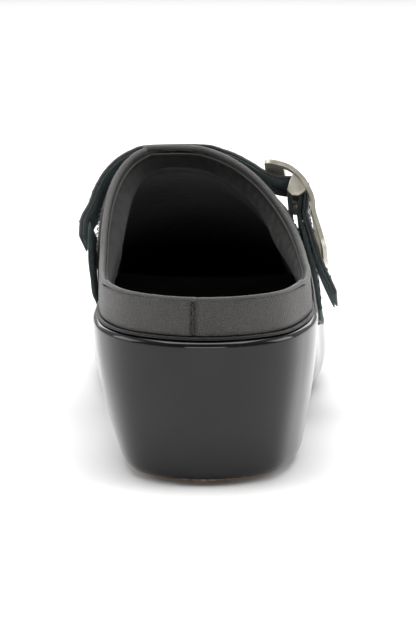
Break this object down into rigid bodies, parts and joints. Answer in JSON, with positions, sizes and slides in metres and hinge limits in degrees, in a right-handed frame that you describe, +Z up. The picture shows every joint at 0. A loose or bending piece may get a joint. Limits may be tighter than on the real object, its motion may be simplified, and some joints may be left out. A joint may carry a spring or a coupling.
{
  "type": "closed-toe clog",
  "caption": "Right-foot slip-on clog with a glossy raised sole, low heel band, padded throat, instep strap and centre-bar buckle.",
  "frame": {"origin": "on the ground at the middle of the heel's rubber outsole", "axes": "+Y from heel to toe, +X to the lateral (outer) side of the right foot, +Z up"},
  "size_m": [0.0958, 0.253, 0.1],
  "materials": {
    "lacquered_wood": "high-gloss black lacquer",
    "outsole_rubber": "matt tan",
    "upper_leather": "fine-grained, soft sheen",
    "strap_leather": "fine-grained with raw dark edges",
    "suede": "napped suede",
    "textile_lining": "soft brushed knit",
    "fibre_board": "pressed fibre board",
    "foam": "soft open foam",
    "buckle_metal": "brushed antique nickel"
  },
  "bodies": {
    "root": {"sole_body": "lacquered_wood", "heel_outsole": "outsole_rubber", "forefoot_outsole": "outsole_rubber", "rand": "upper_leather", "insole_board": "fibre_board", "footbed_foam": "foam", "sock_cover": "textile_lining", "vamp": "upper_leather", "quarter_medial": "upper_leather", "quarter_lateral": "upper_leather", "heel_counter": "fibre_board", "collar_foam": "foam", "toe_puff": "fibre_board", "lining_medial": "textile_lining", "lining_lateral": "textile_lining", "topline_piping": "upper_leather", "strap_backing": "suede", "strap_leather": "strap_leather", "strap_anchor": "suede", "buckle_tab": "suede"},
    "buckle": {"buckle_frame": "buckle_metal", "buckle_bar": "buckle_metal"},
    "prong": {"buckle_prong": "buckle_metal"}
  },
  "joints": [
    {"name": "buckle_tilt", "type": "hinge", "parent": "root", "child": "buckle", "pos_m": [0.03241, 0.08154, 0.07846], "axis": [0.0497, 0.9286, -0.3678], "range_deg": [-4, 1]},
    {"name": "prong_lift", "type": "hinge", "parent": "buckle", "child": "prong", "pos_m": [0.03241, 0.08154, 0.07846], "axis": [0.0497, 0.9286, -0.3678], "range_deg": [0, 35]}
  ]
}
